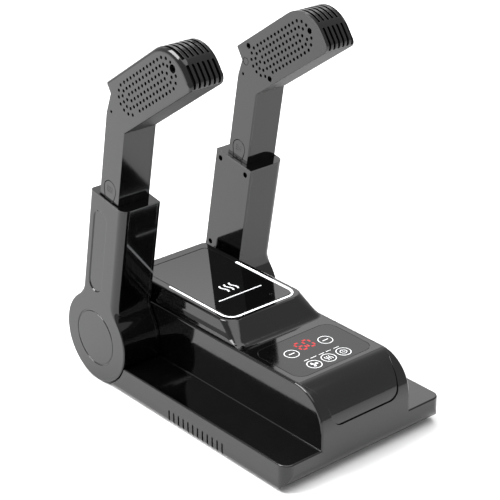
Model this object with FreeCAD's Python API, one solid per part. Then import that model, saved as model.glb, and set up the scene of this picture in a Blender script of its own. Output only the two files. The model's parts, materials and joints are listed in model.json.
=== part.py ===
import FreeCAD, Part
import math
import os
from FreeCAD import Placement, Rotation, Vector

# Boot dryer: a low base with a raised middle body, and two folding arms that each carry a telescoping
# blower tube with a bent, perforated head. Millimetres, +Z up, -Y is the control panel's side, and the
# origin is on the ground under the middle of the object's box.

# ---- driving dimensions: base and middle body
LENGTH = 330.0                # front of the base to the back of the arm discs
BASE_HALF = 100.0             # half the base's width
BODY_HALF = 56.0              # half the raised body's width
BASE_Z = 2.0                  # underside of the casing, above the feet's soles
LEDGE_Z = 30.0                # top of the two side ledges
DECK_Z = 85.0                 # control deck
PLATFORM_Z = 103.6            # glossy platform behind the deck
WALL = 2.5                    # casing walls
SEAM = 0.25                   # visible gap between casing pieces
FILM_GAP = 0.45               # and round the control film
FRONT_Y = -LENGTH / 2
NOSE_R = 38.0                 # quarter round from the deck down to the front face
CHIN_R = 18.0                 # round under the front face
CORNER_R = 10.0               # upright corners of the base
LOWER_EDGE_R = 4.0            # long lower edges of the base
BASE_SCREWS = ((86, -112), (86, -34), (86, 60))
FEET = ((80, -134), (38, 104))
INLET_Z = 40.0                # middle of the power inlet in the round back

# ---- driving dimensions: platform, its plate and its light line
PLATFORM_FOOT_Y = -45.0       # front edge where it meets the deck
PLATFORM_TOP_Y = -27.0        # front edge of its flat top
PLATFORM_HALF = 49.2          # half its top's width
LED_HALF = 43.1               # middle of the light line, from the middle plane
LED_W = 2.3
LED_FRONT = -21.3
LED_BACK = 71.0
PLATE_BACK = 118.0
SENSOR = (21.6, -6.8)         # small round window near the plate's front right corner
SENSOR_R = 1.6

# ---- driving dimensions: blower and heater
FAN_Y = -5.0
FAN_LOW = 12.0
FAN_HIGH = 40.0
SHAFT_R = 2.0
DUCT_X = (-46.0, -10.0)
DUCT_FRONT = 40.0
DUCT_BACK = 78.0

# ---- driving dimensions: arm, seen upright with its pivot at (0, 0)
DISC_R = 46.8                 # round foot of the arm
GROUND_GAP = 1.0              # disc above the ground
LEAN_DEG = 10.0               # forward lean at rest
ARM_IN = 56.8                 # inner face of the arm, from the middle plane
ARM_OUT = 100.8               # outer face of the arm
ARM_HALF = 26.5               # half the arm's depth
ARM_TOP = 160.0               # flat top of the arm above its pivot
ARM_WALL = 2.8
ARM_SIDE_WALL = 2.2           # its outer face, beside the tube
COVER_T = 3.0                 # thickness of the arm's flat inner cover
CAP_T = 1.6                   # plate of the arm's top cap
WEB_R = 26.0                  # hollow round between the arm's edges and its disc
ARM_SCREWS = ((19.4, 152.0), (-19.2, 152.0), (19.6, 52.0))
CUP_R = 3.6                   # screws sit at the bottom of deep cups in the flat covers
CUP_BORE_R = 2.9
CUP_DEPTH = 8.0
CUP_FLOOR = 1.5
SCREW_LENGTH = 10.0

# ---- driving dimensions: blower tube and head
TUBE_IN = 61.4
TUBE_OUT = 98.2
TUBE_FRONT = -14.7
TUBE_BACK = 13.8
TUBE_FOOT = 100.0             # lower end of the tube
TUBE_WALL = 2.2
TUBE_COVER_T = 2.4            # thickness of the tube's flat inner cover
KNEE = (-14.7, 239.3)         # where the head's underside starts
BEND_DEG = 45.35              # head axis, tipped forward from the tube axis
HEAD_LENGTH = 124.0
HEAD_HEIGHT = 51.0
HEAD_R = 34.0                 # round top of the blowing end
HEAD_SCREWS = ((17.9, 44.9), (109.4, 25.6), (29.0, 6.2))
PERFORATION_R = 1.65
THIN = 1.0                    # wall behind the perforations
BOSS = (107.5, 26.0)          # sunk round boss near the blowing end of the outer face
BOSS_R = 4.1
BOSS_DEPTH = 5.0
PIN_HOLE = (-6.2, 24.3)       # small hole through both faces at the bend
PIN_HOLE_R = 1.5
GATE_MARK = (5.0, 33.4)       # ring moulded in the inner face
SCREEN_T = 0.55               # fine mesh behind the head's holes
SLOT_W = 2.7
SLOT_PITCH = 5.6

# ---- driving dimensions: keyhole latches of the tube
LATCH_U = -0.4
LATCH_V = 172.0
LATCH_R = 8.6
LATCH_FOOT = 161.5
LATCH_GAP = 1.3               # the cap stands back from the tube on the latch side
LATCH_SLOT = 0.7              # gap round each latch in its window

# ---- driving dimensions: fits
CLEAR = 0.4                   # between pieces that slide past each other
FIT = 0.05                    # radial clearance of running fits

PIVOT_Y = LENGTH / 2 - DISC_R
PIVOT_Z = DISC_R + GROUND_GAP
BARREL_R = PIVOT_Z - BASE_Z   # round back of the body, on the arms' axis
BARREL_SPLIT_Y = 130.0        # back edge of the platform
SPIGOT_R = 20.0               # hollow hinge shaft that carries air into the arm

TURNS = {
    "x": (Rotation(Vector(1, 1, 1), 120), Vector(1, 0, 0)),
    "y": (Rotation(Vector(1, 0, 0), 90), Vector(0, 1, 0)),
    "z": (Rotation(), Vector(0, 0, 1)),
}
SIDES = {"right": 1, "left": -1}


# ---- outline and solid helpers

def loop(corners):
    """Closed wire through (u, v) corners; a third number rounds that corner to the radius."""
    rounded = []
    for index, corner in enumerate(corners):
        here = Vector(corner[0], corner[1], 0)
        if len(corner) == 2:
            rounded.append((here, None, here))
            continue
        before = corners[index - 1]
        after = corners[(index + 1) % len(corners)]
        to_before = (Vector(before[0], before[1], 0) - here).normalize()
        to_after = (Vector(after[0], after[1], 0) - here).normalize()
        half = to_before.getAngle(to_after) / 2
        reach = corner[2] / math.tan(half)
        depth = corner[2] / math.sin(half) - corner[2]
        middle = here + (to_before + to_after).normalize() * depth
        rounded.append((here + to_before * reach, middle, here + to_after * reach))
    edges = []
    for index, (start, middle, end) in enumerate(rounded):
        if middle is not None:
            edges.append(Part.Arc(start, middle, end).toShape())
        following = rounded[(index + 1) % len(rounded)][0]
        if end.distanceToPoint(following) > 1e-6:
            edges.append(Part.LineSegment(end, following).toShape())
    return Part.Wire(edges)


def extruded(face, axis, low, high):
    """Solid of a face drawn in XY, stood across the axis from low to high.
    Across x the drawing is (y, z), across y it is (x, z) and across z it is (x, y)."""
    turn, along = TURNS[axis]
    placed = face.copy()
    placed.Placement = Placement(along * low, turn)
    return placed.extrude(along * (high - low))


def prism(corners, axis, low, high):
    return extruded(Part.Face(loop(corners)), axis, low, high)


def box(x, y, z):
    return Part.makeBox(x[1] - x[0], y[1] - y[0], z[1] - z[0], Vector(x[0], y[0], z[0]))


def rod(axis, radius, low, high, u=0.0, v=0.0):
    """Cylinder along an axis; u and v are its centre in the same drawing plane as a prism's."""
    circle = Part.Wire(Part.makeCircle(radius, Vector(u, v, 0)))
    return extruded(Part.Face(circle), axis, low, high)


def ring(axis, outer, inner, low, high, u=0.0, v=0.0):
    return rod(axis, outer, low, high, u, v).cut(rod(axis, inner, low - 1, high + 1, u, v))


def rectangle(u, v, radius=None):
    corners = [(u[0], v[0]), (u[1], v[0]), (u[1], v[1]), (u[0], v[1])]
    if radius:
        corners = [(a, b, radius) for a, b in corners]
    return corners


def group(solids):
    return Part.makeCompound(list(solids))


def rounded_edges(shape, chosen):
    """Round the edges for which chosen(edge) gives a radius, or a pair of radii along the edge."""
    document = FreeCAD.newDocument()
    base = document.addObject("Part::Feature", "base")
    base.Shape = shape
    fillet = document.addObject("Part::Fillet", "fillet")
    fillet.Base = base
    radii = []
    for number, edge in enumerate(shape.Edges, 1):
        radius = chosen(edge)
        if radius:
            pair = radius if isinstance(radius, tuple) else (radius, radius)
            radii.append((number, pair[0], pair[1]))
    fillet.Edges = radii
    document.recompute()
    result = fillet.Shape.copy()
    FreeCAD.closeDocument(document.Name)
    if result.isNull() or not result.isValid():
        raise RuntimeError("rounding failed")
    return result


def at(edge, axis, value):
    """True when both ends and the middle of an edge lie at one height on an axis."""
    index = "xyz".index(axis)
    points = [vertex.Point for vertex in edge.Vertexes]
    points.append(edge.valueAt((edge.FirstParameter + edge.LastParameter) / 2))
    return all(abs(point[index] - value) < 0.01 for point in points)


# ---- base casing and the covers on it

def nose_outline(gap):
    """Front view of the opening for the deck cover where it wraps over the nose; gap shrinks it."""
    top = DECK_Z + 20
    return [
        (-53.5 + gap, top), (-53.5 + gap, DECK_Z), (-46.2 + gap, 79.0, 14.0), (-39.8 + gap, 49.0 + gap, 11.0),
        (39.8 - gap, 49.0 + gap, 11.0), (46.2 - gap, 79.0, 14.0), (53.5 - gap, DECK_Z), (53.5 - gap, top),
    ]


def deck_region(gap, back):
    """Everything above the nose outline at the front, and between the side walls behind it."""
    nose_back = FRONT_Y + NOSE_R
    front = prism(nose_outline(gap), "y", FRONT_Y - 5, nose_back)
    rear = box((-53.5 + gap, 53.5 - gap), (nose_back, back), (49.0, DECK_Z + 20))
    return front.fuse(rear)


def vents():
    """Twelve upright slots through each side wall, below the ledge."""
    slots = []
    for side in SIDES.values():
        for index in range(12):
            y = -77.0 + 7.2 * index
            slots.append(prism(rectangle((y - 1.1, y + 1.1), (BASE_Z - 1, 15.5), 1.09), "x",
                               min(side * 94, side * 101), max(side * 94, side * 101)))
        thin_low, thin_high = sorted((side * 95, side * (BASE_HALF - 1.2)))
        slots.append(box((thin_low, thin_high), (-79.5, 5.0), (BASE_Z + WALL, 18.0)))
    return group(slots)


def body_edge_radius(edge):
    """Upper side edges of the raised body, along the deck, round the nose and down to the ledges."""
    middle = edge.valueAt((edge.FirstParameter + edge.LastParameter) / 2)
    if not at(edge, "x", BODY_HALF) and not at(edge, "x", -BODY_HALF):
        return None
    on_nose = middle.y < FRONT_Y + NOSE_R and middle.z > CHIN_R + BASE_Z
    return 2.0 if on_nose or at(edge, "z", DECK_Z) else None


def is_ledge_root(edge):
    """True for the inside corners where the raised body stands on the ledges."""
    beside = at(edge, "x", BODY_HALF) or at(edge, "x", -BODY_HALF)
    return beside and at(edge, "z", LEDGE_Z) and edge.Length > 100


def main_casing():
    pocket_end = 96.0
    side_view = [(FRONT_Y, LEDGE_Z), (pocket_end, LEDGE_Z), (pocket_end, BASE_Z), (FRONT_Y, BASE_Z, CHIN_R)]
    block = prism(side_view, "x", -BASE_HALF, BASE_HALF)
    plan = [(-BASE_HALF, FRONT_Y, CORNER_R), (BASE_HALF, FRONT_Y, CORNER_R),
            (BASE_HALF, 120), (-BASE_HALF, 120)]
    above = LEDGE_Z + 1
    front_view = [(-BASE_HALF, above), (-BASE_HALF, BASE_Z, LOWER_EDGE_R),
                  (BASE_HALF, BASE_Z, LOWER_EDGE_R), (BASE_HALF, above)]
    block = block.common(prism(plan, "z", 0, above)).common(prism(front_view, "y", FRONT_Y - 1, 125))
    pocket_r = DISC_R + 1.5
    for side in SIDES.values():
        low, high = sorted((side * BODY_HALF, side * (BASE_HALF + 1)))
        block = block.cut(rod("x", pocket_r, low, high, PIVOT_Y, PIVOT_Z))
    block = rounded_edges(block, lambda edge: 1.5 if at(edge, "z", LEDGE_Z) else None)

    body = prism([(FRONT_Y, DECK_Z, NOSE_R), (BARREL_SPLIT_Y, DECK_Z), (BARREL_SPLIT_Y, BASE_Z),
                  (FRONT_Y, BASE_Z, CHIN_R)], "x", -BODY_HALF, BODY_HALF)
    body = rounded_edges(body, body_edge_radius)
    barrel = rod("x", BARREL_R, -BODY_HALF, BODY_HALF, PIVOT_Y, PIVOT_Z)
    above_split = box((-60, 60), (0, BARREL_SPLIT_Y), (DECK_Z, 120))
    outer = block.fuse([body, barrel]).cut(above_split).removeSplitter()
    outer = rounded_edges(outer, lambda edge: 1.2 if is_ledge_root(edge) else None)

    inside_y = FRONT_Y + WALL
    floor_z = BASE_Z + WALL
    side_room = prism([(inside_y, LEDGE_Z - WALL), (93.5, LEDGE_Z - WALL), (93.5, floor_z),
                       (inside_y, floor_z, CHIN_R - WALL)], "x", WALL - BASE_HALF, BASE_HALF - WALL)
    inside_x = BASE_HALF - WALL
    room_plan = [(-inside_x, inside_y, CORNER_R - WALL), (inside_x, inside_y, CORNER_R - WALL),
                 (inside_x, 120), (-inside_x, 120)]
    side_room = side_room.common(prism(room_plan, "z", 0, LEDGE_Z))
    for side in SIDES.values():
        low, high = sorted((side * 53.5, side * BASE_HALF))
        side_room = side_room.cut(rod("x", pocket_r + WALL, low, high, PIVOT_Y, PIVOT_Z))
    body_room = prism([(inside_y, DECK_Z - WALL, NOSE_R - WALL), (BARREL_SPLIT_Y - WALL, DECK_Z - WALL),
                       (BARREL_SPLIT_Y - WALL, floor_z), (inside_y, floor_z, CHIN_R - WALL)],
                      "x", WALL - BODY_HALF, BODY_HALF - WALL)
    barrel_room = rod("x", BARREL_R - WALL, WALL - BODY_HALF, BODY_HALF - WALL, PIVOT_Y, PIVOT_Z)
    floor_opening = prism(floor_outline(0.0), "z", 0, floor_z + 1)
    casing = outer.cut([side_room, body_room, barrel_room, floor_opening])
    casing = casing.cut(deck_region(0.0, BARREL_SPLIT_Y - WALL))
    casing = casing.cut(vents())
    hinge_holes = rod("x", SPIGOT_R, -60, 60, PIVOT_Y, PIVOT_Z)
    casing = casing.cut([hinge_holes, inlet_opening()])
    posts = []
    for x, y in base_screw_places():
        post = rod("z", 4.0, floor_z, LEDGE_Z - WALL, x, y)
        posts.append(post.cut(rod("z", 1.5, floor_z - 1, 16.0, x, y)))
    return casing.fuse(posts)


def floor_outline(gap):
    """Opening in the casing's underside: wide under the ledges, narrower between the arm discs."""
    wide = BASE_HALF - 5 - gap
    narrow = BODY_HALF - 6 - gap
    front = FRONT_Y + CHIN_R + gap
    step = 78.0 - gap
    return [(-wide, front, 4.0), (wide, front, 4.0), (wide, step, 4.0), (narrow, step),
            (narrow, PIVOT_Y - gap), (-narrow, PIVOT_Y - gap), (-narrow, step), (-wide, step, 4.0)]


def base_screw_places():
    return [(side * x, y) for side in SIDES.values() for x, y in BASE_SCREWS]


def foot_places():
    return [(side * x, y) for side in SIDES.values() for x, y in FEET]


def bottom_cover():
    plate = prism(floor_outline(SEAM), "z", BASE_Z, BASE_Z + WALL)
    cuts = []
    for x, y in base_screw_places():
        cuts.append(rod("z", 1.7, 0, 6, x, y))
        cuts.append(rod("z", 3.4, 0, BASE_Z + 1.5, x, y))
    for x, y in foot_places():
        cuts.append(rod("z", 8.2, 0, BASE_Z + 0.8, x, y))
    for row in range(9):
        for side in SIDES.values():
            middle_x = side * 11.5
            y = -21.6 + 4.8 * row
            slot = rectangle((middle_x - 9.0, middle_x + 9.0), (y, y + 1.6), 0.79)
            cuts.append(prism(slot, "z", 0, 6))
    return plate.cut(cuts)


def rubber_feet():
    return group(rod("z", 8.0, 0, BASE_Z + 0.8, x, y) for x, y in foot_places())


def base_screws():
    screws = []
    for x, y in base_screw_places():
        head = rod("z", 3.1, BASE_Z + 0.3, BASE_Z + 1.5, x, y)
        head = head.cut(prism(rectangle((x - 2.2, x + 2.2), (y - 0.4, y + 0.4)), "z", 0, BASE_Z + 0.9))
        shank = rod("z", 1.45, BASE_Z + 1.4, 15.0, x, y)
        screws.append(head.fuse(shank))
    return group(screws)


def platform_block(inset):
    """The raised platform as a loft from its foot on the deck to its top; inset shrinks it all round."""
    side_foot = 53.5 - SEAM - inset
    back = BARREL_SPLIT_Y - inset
    foot = rectangle((-side_foot, side_foot), (PLATFORM_FOOT_Y + inset, back))
    top_half = PLATFORM_HALF - inset
    top = rectangle((-top_half, top_half), (PLATFORM_TOP_Y + inset, back))
    low = loop([(u, v, r - inset) for (u, v), r in zip(foot, (6.0, 6.0, 5.0, 5.0))])
    high = loop([(u, v, r - inset) for (u, v), r in zip(top, (16.0, 16.0, 5.0, 5.0))])
    low.translate(Vector(0, 0, DECK_Z - inset))
    high.translate(Vector(0, 0, PLATFORM_Z - inset))
    return Part.makeLoft([low, high], True, True)


def top_cover():
    """One moulding: the strip over the nose, the control deck, the slope and the platform."""
    nose_front = FRONT_Y + 1.4
    low_z = 49.0 + SEAM
    nose_r = NOSE_R - 1.4
    deck = prism([(nose_front, low_z), (nose_front, DECK_Z, nose_r), (BARREL_SPLIT_Y, DECK_Z),
                  (BARREL_SPLIT_Y, low_z)], "x", -60, 60)
    slab = box((-80, 80), (-130, 180), (DECK_Z - WALL, DECK_Z))

    def edge_radius(edge):
        if at(edge, "z", PLATFORM_Z):
            return 2.4
        middle = edge.CenterOfMass
        if at(edge, "z", DECK_Z) and abs(middle.x) < 60 and -60 < middle.y < 140:
            return 12.0
        return None

    raised = rounded_edges(slab.fuse(platform_block(0.0)).removeSplitter(), edge_radius)
    outer = deck.fuse(raised).common(deck_region(SEAM, BARREL_SPLIT_Y)).removeSplitter()
    inner = prism([(nose_front + WALL, 0), (nose_front + WALL, DECK_Z - WALL, nose_r - WALL),
                   (BARREL_SPLIT_Y - WALL, DECK_Z - WALL), (BARREL_SPLIT_Y - WALL, 0)],
                  "x", -51.0, 51.0)
    below_deck = box((-60, 60), (FRONT_Y + NOSE_R, 200), (0, DECK_Z - WALL))
    cover = outer.cut([inner, platform_block(WALL), below_deck])
    plate_pocket = prism(led_line_outline(0.0), "z", PLATFORM_Z - 1.6, PLATFORM_Z + 1)
    plate_rear = prism(plate_outline(0.0), "z", PLATFORM_Z - 1.6, PLATFORM_Z + 1)
    film_pocket = prism(film_outline(0.0), "z", DECK_Z - 0.8, DECK_Z + 1)
    display_window = prism(rectangle((-14, 14), (-90, -70), 1.5), "z", DECK_Z - 4, DECK_Z)
    return cover.cut([plate_pocket, plate_rear, film_pocket, display_window])


# ---- platform: plate and light line

def plate_outline(gap):
    half = LED_HALF - LED_W / 2 - SEAM - gap
    front = LED_FRONT + LED_W / 2 + SEAM + gap
    back = PLATE_BACK - gap
    return [(-half, front, 10.0), (half, front, 10.0), (half, back, 5.0), (-half, back, 5.0)]


def led_line_outline(gap):
    half = LED_HALF + LED_W / 2 - gap
    front = LED_FRONT - LED_W / 2 + gap
    back = LED_BACK - gap
    return [(-half, front, 13.5), (half, front, 13.5), (half, back, 1.5), (-half, back, 1.5)]


def led_light_guide():
    outer = prism(led_line_outline(0.05), "z", PLATFORM_Z - 1.6, PLATFORM_Z)
    half = LED_HALF - LED_W / 2
    front = LED_FRONT + LED_W / 2
    inner = [(-half, front, 10.0), (half, front, 10.0), (half, 90), (-half, 90)]
    return outer.cut(prism(inner, "z", PLATFORM_Z - 3, PLATFORM_Z + 1))


def top_plate():
    plate = prism(plate_outline(SEAM), "z", PLATFORM_Z - 1.6, PLATFORM_Z)
    plate = rounded_edges(plate, lambda edge: 1.1 if at(edge, "z", PLATFORM_Z) else None)
    return plate.cut(rod("z", SENSOR_R, PLATFORM_Z - 0.3, PLATFORM_Z + 1, *SENSOR))


# ---- control deck: film, display and boards

def film_outline(gap):
    return [(u, v, 12.0 - gap) for u, v in rectangle((-48.0 + gap, 48.0 - gap), (-125.2 + gap, -59.8 - gap))]


def touch_film():
    return prism(film_outline(FILM_GAP), "z", DECK_Z - 0.8, DECK_Z)


def display_module():
    case = box((-13, 13), (-89, -71), (DECK_Z - 7, DECK_Z - 1.0))
    places = [(x, y) for x in (-10, -6, -2, 2, 6, 10) for y in (-86, -74)]
    pins = [rod("z", 0.4, DECK_Z - 9.6, DECK_Z - 7, x, y) for x, y in places]
    return case.fuse(pins)


def control_board():
    board = box((-44, 44), (-121, -63), (DECK_Z - 11.2, DECK_Z - 9.6))
    pads = [rod("z", 5.5, DECK_Z - 9.6, DECK_Z - 4.0, x, y)
            for x, y in ((-21.4, -85.0), (21.4, -85.0), (-18.6, -113.0), (0.0, -113.0), (18.6, -113.0))]
    return board.fuse(pads)


def power_board():
    board = box((-48, 48), (-150, -70), (12.0, 13.6))
    parts = [
        box((-40, -8), (-140, -110), (13.6, 40.0)),
        rod("z", 7.0, 13.6, 34.0, 8, -128),
        rod("z", 7.0, 13.6, 34.0, 26, -128),
        box((4, 40), (-104, -84), (13.6, 30.0)),
        box((-36, -20), (-98, -82), (13.6, 24.0)),
    ]
    legs = [rod("z", 3.0, BASE_Z + WALL, 12.0, x, y) for x in (-42, 42) for y in (-144, -76)]
    return board.fuse(parts + legs)


# ---- power inlet at the back

def inlet_opening():
    return box((-13.5, 13.5), (130, 170), (INLET_Z - 8, INLET_Z + 8))


def mains_inlet():
    """Two-pole appliance inlet set in the round back of the body."""
    mouth_y = 160.0
    body = box((-13.4, 13.4), (138, mouth_y), (INLET_Z - 7.9, INLET_Z + 7.9))
    hollow = rectangle((-8.0, 8.0), (INLET_Z - 5.0, INLET_Z + 5.0), 4.9)
    body = body.cut(prism(hollow, "y", 146, mouth_y + 1))
    contacts = []
    for x in (-4.3, 4.3):
        contacts.append(rod("y", 1.2, 145.5, mouth_y - 2, x, INLET_Z))
        contacts.append(box((x - 1.5, x + 1.5), (130, 138), (INLET_Z - 0.4, INLET_Z + 0.4)))
    return body.fuse(contacts)


# ---- blower, heater and air ducts

def fan_housing():
    """Scroll with its intake underneath and its outlet to the back, on four legs."""
    outer = rod("z", 46.0, FAN_LOW, FAN_HIGH, 0, FAN_Y)
    outer = outer.fuse(box(DUCT_X, (FAN_Y, DUCT_FRONT), (FAN_LOW, FAN_HIGH)))
    inner = rod("z", 44.0, FAN_LOW + 2, FAN_HIGH - 2, 0, FAN_Y)
    outlet = box((DUCT_X[0] + 2, DUCT_X[1] - 2), (FAN_Y, DUCT_FRONT + 1), (FAN_LOW + 2, FAN_HIGH - 2))
    intake = rod("z", 25.0, FAN_LOW - 1, FAN_LOW + 3, 0, FAN_Y)
    shaft_hole = rod("z", 6.0, FAN_HIGH - 3, FAN_HIGH + 1, 0, FAN_Y)
    scroll = outer.removeSplitter().cut([inner, outlet, intake, shaft_hole])
    legs = [rod("z", 3.5, BASE_Z + WALL, FAN_LOW, 36 * math.cos(angle), FAN_Y + 36 * math.sin(angle))
            for angle in (math.radians(45 + 90 * quarter) for quarter in range(4))]
    return scroll.fuse(legs)


def fan_impeller():
    """Squirrel-cage wheel: a back plate with a hub, a front ring, and blades between them."""
    low = FAN_LOW + 4
    high = FAN_HIGH - 3.5
    plate = rod("z", 36.0, high - 1.6, high, 0, FAN_Y)
    rim = ring("z", 36.0, 29.0, low, low + 1.6, 0, FAN_Y)
    hub = rod("z", 6.0, high - 12, high, 0, FAN_Y)
    blade = box((29.5, 35.5), (-0.5, 0.5), (low, high))
    blade.rotate(Vector(32.5, 0, 0), Vector(0, 0, 1), 35)
    blades = []
    for index in range(28):
        turned = blade.copy()
        turned.rotate(Vector(0, 0, 0), Vector(0, 0, 1), 360.0 * index / 28)
        turned.translate(Vector(0, FAN_Y, 0))
        blades.append(turned)
    wheel = plate.fuse([rim, hub] + blades)
    return wheel.cut(rod("z", SHAFT_R, high - 14, high + 1, 0, FAN_Y))


def motor_shaft():
    return rod("z", SHAFT_R, FAN_HIGH - 14, FAN_HIGH + 20, 0, FAN_Y)


def fan_motor():
    can = rod("z", 15.0, FAN_HIGH, FAN_HIGH + 22, 0, FAN_Y)
    can = can.cut(rod("z", SHAFT_R + FIT, FAN_HIGH - 1, FAN_HIGH + 20.5, 0, FAN_Y))
    return can.fuse(box((-6, 6), (FAN_Y - 3, FAN_Y + 3), (FAN_HIGH + 22, FAN_HIGH + 24)))


def heater_housing():
    outer = box(DUCT_X, (DUCT_FRONT, DUCT_BACK), (FAN_LOW, FAN_HIGH))
    inner = box((DUCT_X[0] + 2, DUCT_X[1] - 2), (DUCT_FRONT - 1, DUCT_BACK + 1), (FAN_LOW + 2, FAN_HIGH - 2))
    return outer.cut(inner)


def heater_frame():
    """Two mica boards crossed inside the heater duct."""
    middle_x = sum(DUCT_X) / 2
    middle_z = (FAN_LOW + FAN_HIGH) / 2
    span_y = (DUCT_FRONT + 5, DUCT_BACK - 5)
    flat = box((DUCT_X[0] + 2, DUCT_X[1] - 2), span_y, (middle_z - 0.5, middle_z + 0.5))
    upright = box((middle_x - 0.5, middle_x + 0.5), span_y, (FAN_LOW + 2, FAN_HIGH - 2))
    frame = flat.fuse(upright)
    for y in heater_rows():
        frame = frame.cut(Part.makeTorus(9.0, 0.75, Vector(middle_x, y, middle_z), Vector(0, 1, 0)))
    return frame


def heater_rows():
    return [DUCT_FRONT + 9 + 3.3 * index for index in range(7)]


def heater_coil():
    middle = Vector(sum(DUCT_X) / 2, 0, (FAN_LOW + FAN_HIGH) / 2)
    return group(Part.makeTorus(9.0, 0.7, middle + Vector(0, y, 0), Vector(0, 1, 0)) for y in heater_rows())


def air_manifold():
    """Box behind the heater that turns the air up and out to both hinge spigots, recessed for the inlet."""
    outline = [(DUCT_BACK, FAN_LOW), (PIVOT_Y + 24, FAN_LOW, 20.0), (PIVOT_Y + 24, PIVOT_Z + 24, 20.0),
               (DUCT_BACK + 6, PIVOT_Z + 24, 16.0), (DUCT_BACK, FAN_HIGH)]
    outer = prism(outline, "x", -50.0, 50.0)
    inner = extruded(Part.Face(loop(outline)).makeOffset2D(-2.0), "x", -48.0, 48.0)
    inlet = box((DUCT_X[0] + 2, DUCT_X[1] - 2), (DUCT_BACK - 1, DUCT_BACK + 4), (FAN_LOW + 2, FAN_HIGH - 2))
    ports = [rod("x", SPIGOT_R - 3.5, low, low + 3, PIVOT_Y, PIVOT_Z) for low in (-50.5, 47.5)]
    recess = box((-15, 15), (129, 170), (INLET_Z - 9, INLET_Z + 9))
    recess_walls = box((-17, 17), (127, 170), (INLET_Z - 11, INLET_Z + 11))
    return outer.cut([inner.cut(recess_walls), inlet, recess] + ports)


# ---- hinge pieces that stay with the body, drawn for the right side

def hinge_spigot():
    shaft = rod("x", SPIGOT_R - 0.02, 53.5, 70.0, PIVOT_Y, PIVOT_Z)
    flange = rod("x", SPIGOT_R + 5, 50.0, 53.5, PIVOT_Y, PIVOT_Z)
    groove = ring("x", SPIGOT_R + 1, SPIGOT_R - 1.2, 66.8, 68.3, PIVOT_Y, PIVOT_Z)
    return shaft.fuse(flange).cut([rod("x", SPIGOT_R - 3.5, 49, 71, PIVOT_Y, PIVOT_Z), groove])


def retaining_ring():
    whole = ring("x", SPIGOT_R + 3.2, SPIGOT_R - 1.15, 66.85, 68.25, PIVOT_Y, PIVOT_Z)
    gap = box((60, 75), (PIVOT_Y - 3, PIVOT_Y + 3), (PIVOT_Z - 30, PIVOT_Z))
    return whole.cut(gap)


def friction_washer():
    return ring("x", SPIGOT_R + 9, SPIGOT_R + 0.3, BODY_HALF, BODY_HALF + 0.5, PIVOT_Y, PIVOT_Z)


# ---- arm: drawn upright with (depth, height) from the pivot, then leaned and placed

def arm_outline(inset=0.0, top=ARM_TOP):
    """Straight sleeve above, full disc below, and a hollow round on each side between them."""
    half = ARM_HALF - inset
    disc = DISC_R - inset
    web = WEB_R + inset
    web_v = math.sqrt((disc + web) ** 2 - (half + web) ** 2)
    web_u = half + web
    touch = disc / (disc + web)
    touch_angle = math.atan2(web_v, web_u)
    middle_angle = (math.pi + (math.pi + touch_angle)) / 2
    middle_u = web_u + web * math.cos(middle_angle)
    middle_v = web_v + web * math.sin(middle_angle)
    edges = [
        Part.LineSegment(Vector(-half, top, 0), Vector(-half, web_v, 0)).toShape(),
        Part.Arc(Vector(-half, web_v, 0), Vector(-middle_u, middle_v, 0),
                 Vector(-web_u * touch, web_v * touch, 0)).toShape(),
        Part.Arc(Vector(-web_u * touch, web_v * touch, 0), Vector(0, -disc, 0),
                 Vector(web_u * touch, web_v * touch, 0)).toShape(),
        Part.Arc(Vector(web_u * touch, web_v * touch, 0), Vector(middle_u, middle_v, 0),
                 Vector(half, web_v, 0)).toShape(),
        Part.LineSegment(Vector(half, web_v, 0), Vector(half, top, 0)).toShape(),
        Part.LineSegment(Vector(half, top, 0), Vector(-half, top, 0)).toShape(),
    ]
    return Part.Face(Part.Wire(edges))


def arm_edge_radius(edge):
    """Front edge of the outer face is broadly rounded, its back edge less, and the disc's rim least."""
    if not at(edge, "x", ARM_OUT):
        return None
    middle = edge.valueAt((edge.FirstParameter + edge.LastParameter) / 2)
    if edge.Curve.TypeId == "Part::GeomLine":
        if abs(middle.z - ARM_TOP) < 0.01:
            return None
        return 8.0 if middle.y < 0 else 4.0
    if middle.z < 0:
        return 1.2
    wide = 8.0 if middle.y < 0 else 4.0
    first_is_high = edge.Vertexes[0].Point.z > edge.Vertexes[-1].Point.z
    return (wide, 1.2) if first_is_high else (1.2, wide)


def arm_outer_solid():
    solid = extruded(arm_outline(), "x", ARM_IN, ARM_OUT)
    return rounded_edges(solid, arm_edge_radius)


def arm_shell(outer):
    inside = extruded(arm_outline(ARM_WALL, ARM_TOP + 5), "x", ARM_IN - 1, ARM_OUT - ARM_SIDE_WALL)
    cover_room = box((ARM_IN - 1, ARM_IN + COVER_T), (-60, 60), (-60, ARM_TOP + 5))
    cap_room = box((0, 120), (-60, 60), (ARM_TOP - CAP_T, ARM_TOP + 5))
    shell = outer.cut([inside, cover_room, cap_room])
    rim = loop(rectangle((-3.3, 18.5), (51.1, 144.4), 10.89))
    floor = loop(rectangle((-1.7, 16.9), (52.7, 142.8), 9.29))
    rim.translate(Vector(0, 0, 1.6))
    oval = Part.makeLoft([floor, rim], True, True)
    oval.Placement = Placement(Vector(ARM_OUT - 1.1, 0, 0), TURNS["x"][0])
    groove = Part.makeTorus(28.8, 0.95, Vector(ARM_OUT + 0.2, 0, 0), Vector(1, 0, 0))
    u, v = ARM_SCREWS[2]
    return shell.cut([oval, groove]).fuse(screw_post(u, v, ARM_IN, ARM_OUT - ARM_SIDE_WALL + 0.5))


def arm_inner_cover():
    """Flat plate with a hub boss that turns on the hinge spigot, and three counterbored screw holes."""
    plate = extruded(arm_outline(0.0, ARM_TOP - CAP_T), "x", ARM_IN, ARM_IN + COVER_T)
    boss = rod("x", SPIGOT_R + 3.2, ARM_IN, 66.4)
    hub = plate.fuse(boss).cut(rod("x", SPIGOT_R - 0.02 + FIT, ARM_IN - 1, 67))
    return cupped(hub, ARM_SCREWS, ARM_IN)


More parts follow.
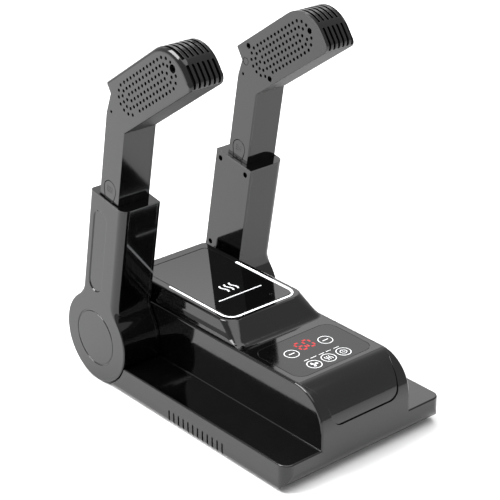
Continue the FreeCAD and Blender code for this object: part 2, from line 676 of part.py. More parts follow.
def screw_post(u, v, face, end):
    """Post that takes the screw from a cup; face is the outside of the cover, end the far wall."""
    post = rod("x", 3.0, face + CUP_DEPTH, end, u, v)
    return post.cut(rod("x", 1.25, face, face + 18, u, v))


def cupped(plate, places, face):
    """Cover plate with a deep cup and a clearance hole at each screw place."""
    cups = [rod("x", CUP_R, face, face + CUP_DEPTH, u, v) for u, v in places]
    bores = []
    for u, v in places:
        bores.append(rod("x", CUP_BORE_R, face - 1, face + CUP_DEPTH - CUP_FLOOR, u, v))
        bores.append(rod("x", 1.5, face, face + CUP_DEPTH + 1, u, v))
    return plate.fuse(cups).cut(bores)


def screw(u, v, cover_face, head_r=2.6, shank_r=1.2):
    """Pan-head screw along x in its cup, with its cross recess towards the middle plane."""
    face = cover_face + CUP_DEPTH - CUP_FLOOR - 1.3
    head = rod("x", head_r, face, face + 1.3, u, v)
    cross = [box((face - 1, face + 0.6), (u - 1.8, u + 1.8), (v - 0.35, v + 0.35)),
             box((face - 1, face + 0.6), (u - 0.35, u + 0.35), (v - 1.8, v + 1.8))]
    return head.cut(cross).fuse(rod("x", shank_r, face + 1.0, face + SCREW_LENGTH, u, v))


def arm_screws():
    return group(screw(u, v, ARM_IN) for u, v in ARM_SCREWS)


def arm_top_cap(outer):
    """Plate flush with the arm's sides, with a block in front of the tube and one behind it."""
    plate = outer.common(box((0, 120), (-60, 60), (ARM_TOP - CAP_T, ARM_TOP + 1)))
    x_span = (ARM_IN + COVER_T, ARM_OUT - ARM_SIDE_WALL - 0.1)
    depth = ARM_HALF - ARM_WALL - 0.1
    blocks = [box(x_span, (-depth, TUBE_FRONT - CLEAR), (145.0, ARM_TOP - CAP_T)),
              box(x_span, (TUBE_BACK + CLEAR, depth), (145.0, ARM_TOP - CAP_T))]
    opening = box((TUBE_IN - CLEAR, TUBE_OUT + LATCH_GAP), (TUBE_FRONT - CLEAR, TUBE_BACK + CLEAR),
                  (140, 170))
    cap = plate.fuse(blocks).cut(opening)
    pilots = [rod("x", 1.25, ARM_IN, ARM_IN + 18, u, v) for u, v in ARM_SCREWS[:2]]
    cup_rooms = [rod("x", CUP_R + 0.1, ARM_IN, ARM_IN + CUP_DEPTH + 0.1, u, v) for u, v in ARM_SCREWS[:2]]
    return cap.cut(pilots + cup_rooms)


# ---- blower tube and head, in the same upright drawing

HEAD_U = -math.sin(math.radians(BEND_DEG))
HEAD_V = math.cos(math.radians(BEND_DEG))


def head_point(along, up):
    """Drawing point at a distance along the head's axis and up from its underside."""
    return (KNEE[0] + along * HEAD_U + up * HEAD_V, KNEE[1] + along * HEAD_V - up * HEAD_U)


def tube_outline():
    return [
        (TUBE_FRONT, TUBE_FOOT),
        KNEE,
        head_point(HEAD_LENGTH, 0) + (8.0,),
        head_point(HEAD_LENGTH, HEAD_HEIGHT) + (HEAD_R,),
        head_point(1.0, HEAD_HEIGHT) + (1.2,),
        head_point(0.3, 36.4),
        (TUBE_BACK, 248.0, 24.0),
        (TUBE_BACK, TUBE_FOOT),
    ]


def cover_outline():
    """The tube's flat cover: as the tube, but cut back behind the rounded blowing end."""
    points = tube_outline()
    points[2] = head_point(112.5, 0)
    points.insert(3, head_point(121.0, 10.5) + (3.0,))
    points[4] = head_point(121.0, HEAD_HEIGHT) + (32.5,)
    return points


def perforations():
    """Hole centres (along, up) on the head's sides: six straight rows that close in rings at both ends."""
    pitch = 6.05
    rows = [25.4 + pitch * (index - 2.5) for index in range(6)]
    places = [(31.0 + pitch * column, up) for column in range(11) for up in rows]
    arcs = ((15.3, (-75, -50, -25, 0, 25, 50, 75)), (9.2, (-70, -35, 0, 35, 70)), (3.0, (0,)))
    for centre, facing in ((94.2, 0.0), (28.2, 180.0)):
        for radius, angles in arcs:
            for angle in angles:
                turned = math.radians(facing + angle)
                places.append((centre + radius * math.cos(turned), 25.4 + radius * math.sin(turned)))
    taken = (BOSS, HEAD_SCREWS[1], HEAD_SCREWS[2])
    room = CUP_R + PERFORATION_R + 0.05
    return [place for place in places if all(math.dist(place, screw_place) > room for screw_place in taken)]


def perforation_cutters(low, high):
    return group(rod("x", PERFORATION_R, low, high, *head_point(along, up)) for along, up in perforations())


def thinned_area():
    """Head-side area that is thinned from inside, as corners in the upright drawing."""
    corners = ((9.5, 5.0), (112.0, 5.0), (112.0, 46.0), (9.5, 46.0))
    return [head_point(along, up) + (14.0,) for along, up in corners]


def head_slots():
    """Six upright slots in an upper and a lower row across the rounded blowing end."""
    def on_round(radius, degrees):
        angle = math.radians(degrees)
        along = HEAD_LENGTH - HEAD_R + radius * math.cos(angle)
        return head_point(along, HEAD_HEIGHT - HEAD_R + radius * math.sin(angle))

    upper = [on_round(29, 20), on_round(45, 20), on_round(45, 44), on_round(45, 68), on_round(29, 68)]
    lower = [head_point(*place) for place in ((119.5, -2.0), (130.0, -2.0), (130.0, 22.6), (119.5, 22.6))]
    cutters = []
    for index in range(6):
        x = (TUBE_IN + TUBE_OUT) / 2 + SLOT_PITCH * (index - 2.5)
        for corners in (upper, lower):
            cutters.append(prism(corners, "x", x - SLOT_W / 2, x + SLOT_W / 2))
    return group(cutters)


def latch_solid(gap, low, high):
    """Keyhole shape: a round finger pad above a narrower neck."""
    radius = LATCH_R + gap
    touch = math.radians(13)
    pad_u = radius * math.cos(touch)
    pad_v = LATCH_V - radius * math.sin(touch)
    neck = [(LATCH_U - 6.2 - gap, LATCH_FOOT - gap), (LATCH_U + 6.2 + gap, LATCH_FOOT - gap),
            (LATCH_U + pad_u, pad_v), (LATCH_U - pad_u, pad_v)]
    return prism(neck, "x", low, high).fuse(rod("x", radius, low, high, LATCH_U, LATCH_V)).removeSplitter()


def tube_edge_radius(edge):
    """Outer edges of the shell: broad around the blowing end, finer elsewhere."""
    if not at(edge, "x", TUBE_OUT):
        return None
    middle = edge.valueAt((edge.FirstParameter + edge.LastParameter) / 2)
    along = (middle.y - KNEE[0]) * HEAD_U + (middle.z - KNEE[1]) * HEAD_V
    up = (middle.y - KNEE[0]) * HEAD_V - (middle.z - KNEE[1]) * HEAD_U
    if edge.Curve.TypeId == "Part::GeomLine":
        if along > HEAD_LENGTH - 1:
            return 6.5
        return 4.5 if abs(up - HEAD_HEIGHT) < 0.1 else None
    if along < 100:
        return None
    first = edge.Vertexes[0].Point
    first_along = (first.y - KNEE[0]) * HEAD_U + (first.z - KNEE[1]) * HEAD_V
    thin = 4.5 if up > 10 else 1.5
    return (6.5, thin) if first_along > HEAD_LENGTH - 1 else (thin, 6.5)


def tube_shell():
    face = Part.Face(loop(tube_outline()))
    solid = rounded_edges(extruded(face, "x", TUBE_IN, TUBE_OUT), tube_edge_radius)
    inside = extruded(face.makeOffset2D(-TUBE_WALL, 2), "x", TUBE_IN + TUBE_COVER_T, TUBE_OUT - TUBE_WALL)
    foot = box((TUBE_IN + TUBE_COVER_T, TUBE_OUT - TUBE_WALL),
               (TUBE_FRONT + TUBE_WALL, TUBE_BACK - TUBE_WALL), (TUBE_FOOT - 1, TUBE_FOOT + 10))
    cover_room = prism(cover_outline(), "x", TUBE_IN - 1, TUBE_IN + TUBE_COVER_T)
    end_room = extruded(face.makeOffset2D(-TUBE_WALL, 2), "x", TUBE_IN + 1.2, TUBE_IN + TUBE_COVER_T + 1)
    shell = solid.cut([inside, foot, cover_room, end_room])
    shell = shell.cut([perforation_cutters(TUBE_OUT - 4, TUBE_OUT + 1), head_slots()])
    window = latch_solid(LATCH_SLOT, TUBE_OUT - 4, TUBE_OUT + 1)
    thinned = prism(thinned_area(), "x", TUBE_OUT - TUBE_WALL - 0.5, TUBE_OUT - THIN)
    boss_floor = TUBE_OUT - BOSS_DEPTH
    boss = rod("x", BOSS_R + 1.1, boss_floor - 1.0, TUBE_OUT - 0.5, *head_point(*BOSS))
    boss_hole = rod("x", BOSS_R, boss_floor, TUBE_OUT + 1, *head_point(*BOSS))
    posts = [screw_post(*head_point(*place), TUBE_IN, end)
             for place, end in zip(HEAD_SCREWS, (TUBE_OUT - 0.8, boss_floor - 0.5, TUBE_OUT - 0.8))]
    pin_hole = rod("x", PIN_HOLE_R, TUBE_OUT - 4, TUBE_OUT + 1, *head_point(*PIN_HOLE))
    return shell.cut([window, pin_hole, thinned]).fuse(posts + [boss]).cut(boss_hole)


def tube_inner_cover():
    """Flat perforated plate with the inner latch window and three counterbored screw holes."""
    plate = prism(cover_outline(), "x", TUBE_IN, TUBE_IN + TUBE_COVER_T)
    cuts = [perforation_cutters(TUBE_IN - 1, TUBE_IN + 4)]
    cuts.append(latch_solid(LATCH_SLOT, TUBE_IN - 1, TUBE_IN + 4))
    cuts.append(prism(thinned_area(), "x", TUBE_IN + THIN, TUBE_IN + 5))
    cuts.append(rod("x", PIN_HOLE_R, TUBE_IN - 1, TUBE_IN + 4, *head_point(*PIN_HOLE)))
    cuts.append(ring("x", 4.0, 3.3, TUBE_IN - 1, TUBE_IN + 0.9, *head_point(*GATE_MARK)))
    return cupped(plate.cut(cuts), [head_point(*place) for place in HEAD_SCREWS], TUBE_IN)


def head_screws():
    return group(screw(*head_point(*place), TUBE_IN) for place in HEAD_SCREWS)


def boss_plug():
    """Domed plug at the bottom of the sunk boss."""
    floor = TUBE_OUT - BOSS_DEPTH
    plug = rod("x", BOSS_R - 0.1, floor, floor + 1.6, *head_point(*BOSS))
    return rounded_edges(plug, lambda edge: 1.2 if at(edge, "x", floor + 1.6) else None)


def head_screen():
    """Fine mesh that lines the head's inside, as one thin sheet with room for the screw cups and the boss."""
    face = Part.Face(loop(tube_outline()))
    low = TUBE_IN + TUBE_COVER_T + 0.2
    high = TUBE_OUT - TUBE_WALL - 0.2
    outer = extruded(face.makeOffset2D(-TUBE_WALL - 0.25, 2), "x", low, high)
    inner = extruded(face.makeOffset2D(-TUBE_WALL - 0.25 - SCREEN_T, 2), "x", low + SCREEN_T, high - SCREEN_T)
    beyond = HEAD_LENGTH + 5
    above = HEAD_HEIGHT + 5
    head_corners = [head_point(*place) for place in ((8, -5), (beyond, -5), (beyond, above), (8, above))]
    sheet = outer.cut(inner).common(prism(head_corners, "x", TUBE_IN, TUBE_OUT))
    rooms = [rod("x", CUP_R + 0.3, TUBE_IN, TUBE_OUT, *head_point(*place)) for place in HEAD_SCREWS]
    rooms.append(rod("x", BOSS_R + 1.4, TUBE_OUT - BOSS_DEPTH - 1.5, TUBE_OUT, *head_point(*BOSS)))
    return sheet.cut(rooms)


def slide_guide():
    """Collar round the tube's foot that runs inside the arm and keeps the tube from pulling out."""
    x_span = (ARM_IN + COVER_T + 0.35, ARM_OUT - ARM_SIDE_WALL - 0.35)
    collar = box(x_span, (-ARM_HALF + ARM_WALL + 0.4, 15.4), (TUBE_FOOT - 4.0, TUBE_FOOT + 8.0))
    seat = box((TUBE_IN, TUBE_OUT), (TUBE_FRONT, TUBE_BACK), (TUBE_FOOT, TUBE_FOOT + 9.0))
    bore = box((TUBE_IN + 4, TUBE_OUT - 4), (TUBE_FRONT + 4, TUBE_BACK - 4), (TUBE_FOOT - 5, TUBE_FOOT + 1))
    return collar.cut([seat, bore])


def latch_button(outer_face, inward):
    """Keyhole latch with a flange behind it, which stops it in its window."""
    low, high = sorted((outer_face + 0.1 * inward, outer_face + 3.0 * inward))
    pad = latch_solid(0.0, low, high)
    flange_low, flange_high = sorted((outer_face + 2.9 * inward, outer_face + 4.0 * inward))
    flange = latch_solid(1.6, flange_low, flange_high)
    grips = []
    for index in range(3):
        v = LATCH_V - 2.2 + 2.2 * index
        grip_low, grip_high = sorted((outer_face - inward, outer_face + 0.45 * inward))
        grips.append(box((grip_low, grip_high), (-4.3, 3.7), (v - 0.4, v + 0.4)))
    return pad.fuse(flange).cut(grips)


def placed_arm(shape):
    """Lean an upright arm drawing forward and put its pivot on the hinge axis."""
    placed = shape.copy()
    placed.rotate(Vector(0, 0, 0), Vector(1, 0, 0), LEAN_DEG)
    placed.translate(Vector(0, PIVOT_Y, PIVOT_Z))
    return placed


def mirrored(shape, side):
    return shape if side > 0 else shape.mirror(Vector(0, 0, 0), Vector(1, 0, 0))


# ---- every named piece

def base_parts():
    return {
        "main_casing": main_casing(),
        "bottom_cover": bottom_cover(),
        "rubber_feet": rubber_feet(),
        "base_screws": base_screws(),
        "top_cover": top_cover(),
        "led_light_guide": led_light_guide(),
        "top_plate": top_plate(),
        "touch_film": touch_film(),
        "display_module": display_module(),
        "control_board": control_board(),
        "power_board": power_board(),
        "mains_inlet": mains_inlet(),
        "fan_housing": fan_housing(),
        "fan_impeller": fan_impeller(),
        "motor_shaft": motor_shaft(),
        "fan_motor": fan_motor(),
        "heater_housing": heater_housing(),
        "heater_frame": heater_frame(),
        "heater_coil": heater_coil(),
        "air_manifold": air_manifold(),
    }


def hinge_parts():
    return {
        "hinge_spigot": hinge_spigot(),
        "retaining_ring": retaining_ring(),
        "friction_washer": friction_washer(),
    }


def arm_parts():
    outer = arm_outer_solid()
    return {
        "arm_shell": arm_shell(outer),
        "arm_inner_cover": arm_inner_cover(),
        "arm_top_cap": arm_top_cap(outer),
        "arm_screws": arm_screws(),
        "tube_shell": tube_shell(),
        "tube_inner_cover": tube_inner_cover(),
        "head_screws": head_screws(),
        "boss_plug": boss_plug(),
        "head_screen": head_screen(),
        "slide_guide": slide_guide(),
        "outer_latch": latch_button(TUBE_OUT, -1),
        "inner_latch": latch_button(TUBE_IN, 1),
    }


def main():
    pieces = base_parts()
    paired = hinge_parts()
    paired.update({name: placed_arm(shape) for name, shape in arm_parts().items()})
    for side_name, side in SIDES.items():
        for name, shape in paired.items():
            pieces[f"{side_name}_{name}"] = mirrored(shape, side)
    os.makedirs("parts", exist_ok=True)
    for name, shape in pieces.items():
        if not shape.isValid() or not shape.Solids:
            raise RuntimeError(f"{name} is not a valid solid")
        shape.exportStep(f"parts/{name}.step")
        print(f"{name}: {len(shape.Solids)} solid(s), {shape.Volume / 1000:.1f} cm3")


main()
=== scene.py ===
import json
import math

import bmesh
import bpy
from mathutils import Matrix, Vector


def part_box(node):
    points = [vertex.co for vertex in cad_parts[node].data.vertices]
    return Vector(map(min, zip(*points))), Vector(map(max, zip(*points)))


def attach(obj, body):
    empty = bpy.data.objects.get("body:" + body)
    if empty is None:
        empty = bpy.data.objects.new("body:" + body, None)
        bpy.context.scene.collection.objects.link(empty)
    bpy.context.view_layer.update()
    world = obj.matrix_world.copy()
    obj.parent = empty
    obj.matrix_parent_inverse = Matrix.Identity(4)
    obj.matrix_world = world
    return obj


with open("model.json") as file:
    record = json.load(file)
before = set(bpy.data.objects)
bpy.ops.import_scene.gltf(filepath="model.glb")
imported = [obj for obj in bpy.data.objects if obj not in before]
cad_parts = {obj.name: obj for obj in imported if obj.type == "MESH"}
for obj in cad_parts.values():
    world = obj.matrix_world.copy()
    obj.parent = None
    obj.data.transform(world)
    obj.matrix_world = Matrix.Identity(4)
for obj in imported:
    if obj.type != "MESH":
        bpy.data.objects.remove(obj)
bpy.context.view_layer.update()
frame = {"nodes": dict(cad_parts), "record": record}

NODES = frame["nodes"]
MM = 0.001
HEAD_UNDERSIDE = (0.0, -0.568, -0.823)    # outward direction of the heads' undersides
ROOM_STRENGTH = 0.66          # world away from the bright wall and the softbox
FLOOR_HALF = 6                # metres
CAMERA_PLACE = (-0.98056, -1.13929, 0.86482)
CAMERA_AZIMUTH = -40.73
CAMERA_ELEVATION = 25.27


# ---- node helpers

def new_material(name):
    material = bpy.data.materials.new(name)
    material.use_nodes = True
    tree = material.node_tree
    tree.nodes.clear()
    output = tree.nodes.new("ShaderNodeOutputMaterial")
    shader = tree.nodes.new("ShaderNodeBsdfPrincipled")
    tree.links.new(shader.outputs["BSDF"], output.inputs["Surface"])
    return material, tree, shader


def noise(tree, vector, scale, detail=3.0, roughness=0.5):
    node = tree.nodes.new("ShaderNodeTexNoise")
    node.inputs["Scale"].default_value = scale
    node.inputs["Detail"].default_value = detail
    node.inputs["Roughness"].default_value = roughness
    tree.links.new(vector, node.inputs["Vector"])
    return node.outputs["Fac"]


def ramp(tree, value, low, high, start=0.3, end=0.7):
    """Value mapped so that it is low at start and high at end, and stays there outside."""
    node = tree.nodes.new("ShaderNodeMapRange")
    node.inputs["From Min"].default_value = start
    node.inputs["From Max"].default_value = end
    node.inputs["To Min"].default_value = low
    node.inputs["To Max"].default_value = high
    tree.links.new(value, node.inputs["Value"])
    return node.outputs["Result"]


def calculated(tree, operation, first, second):
    """Math node on two sockets or numbers."""
    node = tree.nodes.new("ShaderNodeMath")
    node.operation = operation
    for socket, value in zip(node.inputs, (first, second)):
        if isinstance(value, (int, float)):
            socket.default_value = value
        else:
            tree.links.new(value, socket)
    return node.outputs["Value"]


def mixed_colour(tree, value, dark, light):
    node = tree.nodes.new("ShaderNodeMix")
    node.data_type = "RGBA"
    node.inputs["A"].default_value = (*dark, 1.0)
    node.inputs["B"].default_value = (*light, 1.0)
    tree.links.new(value, node.inputs["Factor"])
    return node.outputs["Result"]


def satin_underside(tree, polish, satin):
    """Polish everywhere except on the heads' undersides, which are left satin from the mould."""
    dot = tree.nodes.new("ShaderNodeVectorMath")
    dot.operation = "DOT_PRODUCT"
    tree.links.new(tree.nodes.new("ShaderNodeTexCoord").outputs["Normal"], dot.inputs[0])
    dot.inputs[1].default_value = HEAD_UNDERSIDE
    share = ramp(tree, dot.outputs["Value"], 0.0, satin, 0.90, 0.98)
    return calculated(tree, "MAXIMUM", polish, share)


def moulded(name, dark, light, rough, grain=(900.0, 0.02), specular=0.5, edge=0.0004, wave=0.0, metal=0.0,
            satin=0.0):
    """Moulded or formed surface: slight colour mottle, uneven polish, fine grain, and softened edges.
    rough is the lowest and highest roughness; grain is its scale and strength; edge is the radius of the
    softened edges in metres; wave is a broad moulding ripple; satin is the heads' undersides' roughness."""
    material, tree, shader = new_material(name)
    place = tree.nodes.new("ShaderNodeTexCoord").outputs["Object"]
    mottle = noise(tree, place, 34.0, 4.0)
    tree.links.new(mixed_colour(tree, ramp(tree, mottle, 0.0, 1.0), dark, light), shader.inputs["Base Color"])
    polish = ramp(tree, noise(tree, place, 11.0, 5.0, 0.6), rough[0], rough[1])
    if satin > 0:
        polish = satin_underside(tree, polish, satin)
    tree.links.new(polish, shader.inputs["Roughness"])
    shader.inputs["Specular IOR Level"].default_value = specular
    shader.inputs["Metallic"].default_value = metal
    bevel = tree.nodes.new("ShaderNodeBevel")
    bevel.samples = 6
    bevel.inputs["Radius"].default_value = edge
    normal = bevel.outputs["Normal"]
    for scale, strength, distance in ((grain[0], grain[1], 0.00006), (26.0, wave, 0.0006)):
        if strength <= 0:
            continue
        bump = tree.nodes.new("ShaderNodeBump")
        bump.inputs["Strength"].default_value = strength
        bump.inputs["Distance"].default_value = distance
        tree.links.new(noise(tree, place, scale, 2.0), bump.inputs["Height"])
        tree.links.new(normal, bump.inputs["Normal"])
        normal = bump.outputs["Normal"]
    tree.links.new(normal, shader.inputs["Normal"])
    return material


def lit(name, colour, strength):
    """Printed or backlit mark: slightly uneven ink with some light of its own. The light line and the red
    digits are lamps; on the printed white ink this light is a painted glow.
    """
    material, tree, shader = new_material(name)
    place = tree.nodes.new("ShaderNodeTexCoord").outputs["Object"]
    uneven = noise(tree, place, 420.0, 3.0)
    shade = tuple(0.86 * channel for channel in colour)
    tint = mixed_colour(tree, ramp(tree, uneven, 0.0, 1.0), shade, colour)
    tree.links.new(tint, shader.inputs["Base Color"])
    tree.links.new(tint, shader.inputs["Emission Color"])
    tree.links.new(ramp(tree, uneven, 0.30, 0.42), shader.inputs["Roughness"])
    shader.inputs["Emission Strength"].default_value = strength
    return material


BLACK = moulded("black_gloss", (0.0005, 0.0005, 0.0006), (0.0013, 0.0013, 0.0014), (0.05, 0.10),
                (700.0, 0.03), wave=0.05, satin=0.6)
MIRROR = moulded("black_mirror", (0.0003, 0.0003, 0.0003), (0.0008, 0.0008, 0.0009), (0.02, 0.05),
                 (900.0, 0.01), edge=0.0003)
FILM = moulded("film_gloss", (0.0005, 0.0005, 0.0006), (0.0012, 0.0012, 0.0013), (0.06, 0.12),
               (1300.0, 0.04), 0.3, 0.0001)
INNER = moulded("black_textured", (0.012, 0.012, 0.013), (0.02, 0.02, 0.021), (0.4, 0.6), (1500.0, 0.35))
# Matte black mesh inside the heads: a real screen, made black so the slots and perforations read dark, so it
# is also painted shade.
SHADE_SCREEN = moulded("black_mesh_painted_shade", (0.002, 0.002, 0.002), (0.005, 0.005, 0.005), (0.8, 0.95), (2200.0, 0.5), 0.1)
RUBBER = moulded("foot_rubber", (0.012, 0.012, 0.012), (0.022, 0.022, 0.022), (0.7, 0.9), (1100.0, 0.5), 0.3)
SCREW = moulded("screw_steel", (0.08, 0.08, 0.085), (0.16, 0.16, 0.165), (0.25, 0.42),
                (1800.0, 0.15), edge=0.0002, metal=1.0)
STEEL = moulded("bare_steel", (0.42, 0.42, 0.43), (0.56, 0.56, 0.57), (0.25, 0.45),
                (1600.0, 0.12), edge=0.0003, metal=1.0)
NYLON = moulded("nylon", (0.68, 0.66, 0.60), (0.76, 0.74, 0.69), (0.45, 0.6), (1200.0, 0.2), 0.4)
BOARD = moulded("board_green", (0.02, 0.10, 0.045), (0.03, 0.14, 0.06), (0.3, 0.45), (1400.0, 0.2))
MICA = moulded("mica", (0.45, 0.40, 0.33), (0.58, 0.53, 0.45), (0.5, 0.7), (1500.0, 0.25), 0.4)
WIRE = moulded("heater_wire", (0.22, 0.20, 0.19), (0.34, 0.31, 0.29), (0.35, 0.5),
               (2500.0, 0.2), edge=0.0001, metal=1.0)
LIGHT_LINE = lit("light_line", (0.95, 0.97, 1.0), 1.1)
# Printed white ink with a faint painted glow of its own.
GLOWING_INK = lit("white_ink_painted_glow", (0.92, 0.93, 0.95), 0.25)
RED = lit("red_led", (0.42, 0.008, 0.012), 0.3)

SLOT_LOOKS = {
    "casing_plastic": BLACK, "plate_gloss": MIRROR, "film_gloss": FILM, "light_line": LIGHT_LINE,
    "inner_plastic": INNER, "screen_mesh": SHADE_SCREEN, "washer_nylon": NYLON, "board_plastic": BOARD,
    "mica_board": MICA, "foot_rubber": RUBBER, "screw_steel": SCREW, "motor_steel": STEEL,
    "duct_metal": STEEL, "heater_wire": WIRE,
}


def dress_nodes():
    slots = {entry["node"]: entry["material_slot"] for entry in frame["record"]["subparts"]}
    for name, node in NODES.items():
        node.data.materials.clear()
        node.data.materials.append(SLOT_LOOKS[slots[name]])


# ---- marks printed on the film and the top plate, in millimetres

def ring_outline(centre, outer, inner, steps=48):
    """Quads between two circles."""
    quads = []
    for index in range(steps):
        a = 2 * math.pi * index / steps
        b = 2 * math.pi * (index + 1) / steps
        quads.append([(centre[0] + r * math.cos(t), centre[1] + r * math.sin(t))
                      for r, t in ((inner, a), (outer, a), (outer, b), (inner, b))])
    return quads


def stroke(points, width):
    """Quads that follow a line of points at an even width."""
    quads = []
    sides = []
    for index, point in enumerate(points):
        before = Vector(points[max(index - 1, 0)])
        after = Vector(points[min(index + 1, len(points) - 1)])
        along = (after - before).normalized()
        across = Vector((-along.y, along.x)) * width / 2
        sides.append((Vector(point) + across, Vector(point) - across))
    for (a, b), (c, d) in zip(sides, sides[1:]):
        quads.append([tuple(a), tuple(b), tuple(d), tuple(c)])
    return quads


def printed(name, outlines, z, material, body, thickness=0.03):
    """One thin raised piece from flat outlines given in millimetres."""
    mesh = bpy.data.meshes.new(name)
    work = bmesh.new()
    for outline in outlines:
        low = [work.verts.new((x * MM, y * MM, (z + 0.005) * MM)) for x, y in outline]
        high = [work.verts.new((x * MM, y * MM, (z + thickness) * MM)) for x, y in outline]
        work.faces.new(high)
        work.faces.new(list(reversed(low)))
        for index in range(len(outline)):
            following = (index + 1) % len(outline)
            work.faces.new((low[index], low[following], high[following], high[index]))
    bmesh.ops.recalc_face_normals(work, faces=work.faces)
    work.to_mesh(mesh)
    work.free()
    piece = bpy.data.objects.new(name, mesh)
    bpy.context.scene.collection.objects.link(piece)
    piece.data.materials.append(material)
    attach(piece, body)


DECK_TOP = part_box("touch_film")[1][2] / MM
PLATE_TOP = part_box("top_plate")[1][2] / MM
KEY_R = 7.5
KEY_LINE = 0.75
BAR_KEYS = ((-21.4, -85.0), (21.4, -85.0))
FAN_KEY = (-18.6, -113.3)
HEAT_KEY = (0.0, -112.7)
TIMER_KEY = (18.6, -113.0)
LABELS_Y = -102.7
LABELS = ((-21.9, -16.5), (-13.8, -6.6), (-3.3, 3.3), (5.7, 11.8), (15.3, 21.9))
DIGITS = (("abcdef", (4.9, -79.4)), ("acdefg", (-5.0, -79.4)))
DIGIT_SIZE = (7.0, 13.6)
DIGIT_BAR = 2.2
RULE_HALF = 27.0              # rule under the plate's mark
RULE_Y = 14.0
WAVE_FOOT = 24.0
WAVE_HEIGHT = 15.0


def shifted(outlines, centre):
    return [[(x + centre[0], y + centre[1]) for x, y in outline] for outline in outlines]


def fan_icon():
    blades = []
    for third in range(3):
        turn = 2 * math.pi * third / 3
        points = [(0.6, -0.5), (3.9, -1.3), (4.1, 0.9), (2.0, 1.7), (0.6, 0.6)]
        blades.append([(x * math.cos(turn) - y * math.sin(turn), x * math.sin(turn) + y * math.cos(turn))
                       for x, y in points])
    return blades


def heat_icon():
    waves = []
    for offset in (-2.6, 0.0, 2.6):
        points = [(offset + 0.8 * math.sin(step / 10 * 2 * math.pi), -3.4 + 6.8 * step / 10)
                  for step in range(11)]
        waves += stroke(points, 0.7)
    return waves


def timer_icon():
    hands = stroke([(0, 0), (0, 2.2)], 0.6) + stroke([(-0.2, 0.2), (1.7, -0.8)], 0.6)
    return ring_outline((0, 0), 3.6, 3.0, 32) + hands


def digit(segments, centre, width, height, bar):
    """Seven-segment digit; segments is a subset of 'abcdefg'."""
    left, right = centre[0] - width / 2, centre[0] + width / 2
    low, middle, high = centre[1] - height / 2, centre[1], centre[1] + height / 2
    gap = bar * 0.6
    lines = {
        "a": [(left + gap, high), (right - gap, high)], "b": [(right, high - gap), (right, middle + gap)],
        "c": [(right, middle - gap), (right, low + gap)], "d": [(left + gap, low), (right - gap, low)],
        "e": [(left, middle - gap), (left, low + gap)], "f": [(left, high - gap), (left, middle + gap)],
        "g": [(left + gap, middle), (right - gap, middle)],
    }
    outlines = []
    for segment in segments:
        outlines += stroke(lines[segment], bar)
    return outlines


def film_marks():
    outlines = []
    for centre in (*BAR_KEYS, FAN_KEY, HEAT_KEY, TIMER_KEY):
        outlines += ring_outline(centre, KEY_R, KEY_R - KEY_LINE)
    for centre in BAR_KEYS:
        outlines += shifted(stroke([(-3.4, 0.0), (3.4, 0.0)], 1.1), centre)
    outlines += shifted(fan_icon(), FAN_KEY)
    outlines += shifted(heat_icon(), HEAT_KEY)
    outlines += shifted(timer_icon(), TIMER_KEY)
    for start, end in LABELS:
        outlines += stroke([(start, LABELS_Y), (end, LABELS_Y)], 0.7)
    printed("film_print", outlines, DECK_TOP, GLOWING_INK, "base")
    digits = []
    for segments, centre in DIGITS:
        digits += digit(segments, centre, *DIGIT_SIZE, DIGIT_BAR)
    printed("display_digits", digits, DECK_TOP, RED, "base")


def plate_mark():
    """Generic mark: three rising waves of warm air above a plain rule."""
    outlines = []
    for offset in (-6.0, 0.0, 6.0):
        points = [(offset + 1.3 * math.sin(step / 16 * 2 * math.pi), WAVE_FOOT + WAVE_HEIGHT * step / 16)
                  for step in range(17)]
        outlines += stroke(points, 2.0)
    outlines += stroke([(-RULE_HALF, RULE_Y), (RULE_HALF, RULE_Y)], 1.6)
    printed("plate_print", outlines, PLATE_TOP, GLOWING_INK, "base")


# ---- studio

def area_light(name, place, target, size, power):
    data = bpy.data.lights.new(name, "AREA")
    data.shape = "RECTANGLE"
    data.size, data.size_y = size
    data.energy = power
    light = bpy.data.objects.new(name, data)
    light.location = place
    light.rotation_mode = "QUATERNION"
    light.rotation_quaternion = (Vector(target) - Vector(place)).to_track_quat("-Z", "Y")
    bpy.context.scene.collection.objects.link(light)


def sky_strength(tree, direction):
    """Bright wall behind the object, dim room above and in front of it, and a softbox straight overhead."""
    wall = ramp(tree, direction.outputs["Z"], 1.2, 2.05, 0.42, 0.475)
    back = ramp(tree, direction.outputs["Y"], 0.0, 1.0, 0.25, 0.55)
    right = ramp(tree, direction.outputs["X"], 0.4, 1.0, -0.3, 0.2)
    high = ramp(tree, direction.outputs["Z"], 1.0, 0.0, 0.56, 0.72)
    overhead = ramp(tree, direction.outputs["Z"], 0.0, 2.6, 0.80, 0.88)
    in_wall = calculated(tree, "MULTIPLY", calculated(tree, "MULTIPLY", back, right), high)
    bright = calculated(tree, "MULTIPLY", in_wall, calculated(tree, "SUBTRACT", wall, ROOM_STRENGTH))
    return calculated(tree, "ADD", calculated(tree, "ADD", bright, ROOM_STRENGTH), overhead)


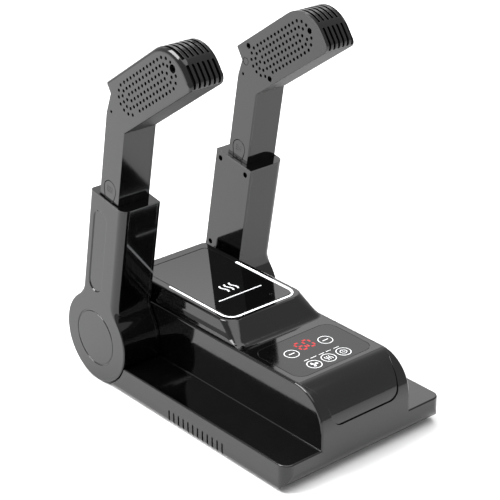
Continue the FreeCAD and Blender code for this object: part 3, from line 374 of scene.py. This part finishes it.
def studio():
    mesh = bpy.data.meshes.new("floor")
    work = bmesh.new()
    square = ((-FLOOR_HALF, -FLOOR_HALF), (FLOOR_HALF, -FLOOR_HALF), (FLOOR_HALF, FLOOR_HALF),
              (-FLOOR_HALF, FLOOR_HALF))
    corners = [work.verts.new((x, y, 0.0)) for x, y in square]
    work.faces.new(corners)
    work.to_mesh(mesh)
    work.free()
    floor = bpy.data.objects.new("floor", mesh)
    bpy.context.scene.collection.objects.link(floor)
    material, tree, shader = new_material("floor_white")
    place = tree.nodes.new("ShaderNodeTexCoord").outputs["Object"]
    tone = ramp(tree, noise(tree, place, 3.0), 0.0, 1.0)
    white = mixed_colour(tree, tone, (0.90, 0.90, 0.90), (0.92, 0.92, 0.92))
    tree.links.new(white, shader.inputs["Base Color"])
    shader.inputs["Roughness"].default_value = 0.8
    shader.inputs["Specular IOR Level"].default_value = 0.1
    floor.data.materials.append(material)

    world = bpy.data.worlds.new("studio")
    bpy.context.scene.world = world
    world.use_nodes = True
    tree = world.node_tree
    tree.nodes.clear()
    output = tree.nodes.new("ShaderNodeOutputWorld")
    background = tree.nodes.new("ShaderNodeBackground")
    direction = tree.nodes.new("ShaderNodeTexCoord").outputs["Generated"]
    split = tree.nodes.new("ShaderNodeSeparateXYZ")
    tree.links.new(direction, split.inputs["Vector"])
    tree.links.new(sky_strength(tree, split), background.inputs["Strength"])
    background.inputs["Color"].default_value = (1, 1, 1, 1)
    tree.links.new(background.outputs["Background"], output.inputs["Surface"])

    area_light("key", (-1.3, 0.8, 1.9), (-0.5, 0.4, 0.0), (1.3, 1.3), 70)


def camera():
    data = bpy.data.cameras.new("camera")
    data.sensor_width = 36.0
    data.lens = 125.1
    data.clip_start = 0.05
    data.clip_end = 20.0
    view = bpy.data.objects.new("camera", data)
    bpy.context.scene.collection.objects.link(view)
    azimuth = math.radians(CAMERA_AZIMUTH)
    elevation = math.radians(CAMERA_ELEVATION)
    back = Vector((math.sin(azimuth) * math.cos(elevation), -math.cos(azimuth) * math.cos(elevation),
                   math.sin(elevation)))
    view.location = CAMERA_PLACE
    view.rotation_mode = "QUATERNION"
    view.rotation_quaternion = (-back).to_track_quat("-Z", "Y")
    bpy.context.scene.camera = view


camera()
dress_nodes()
film_marks()
plate_mark()
studio()
bpy.context.scene.view_settings.view_transform = "Standard"
